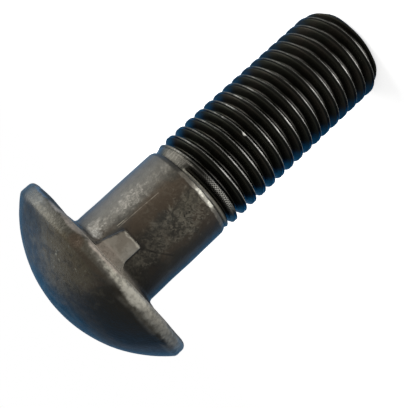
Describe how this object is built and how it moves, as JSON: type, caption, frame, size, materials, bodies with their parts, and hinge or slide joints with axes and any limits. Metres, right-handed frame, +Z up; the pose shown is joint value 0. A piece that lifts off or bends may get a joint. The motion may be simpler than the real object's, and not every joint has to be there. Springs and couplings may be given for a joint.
{
  "type": "cup head nib bolt",
  "caption": "Forged steel bolt with a domed cup head, flat underside, small nib against turning, plain shank and coarse right-hand thread.",
  "frame": {"origin": "centre of the flat face on the thread's end, on the bolt's axis", "axes": "+Z runs up the bolt's axis from the thread's end to the head's crown; the nib points to -Y; +X is to the right of the nib, seen from the front"},
  "size_m": [0.048, 0.048, 0.0889],
  "materials": {
    "oiled_steel": "as forged and rolled, dark scale with an oily film, worn brighter on the rim, the shoulder and the thread's crests"
  },
  "bodies": {
    "root": {"bolt": "oiled_steel"}
  },
  "joints": []
}
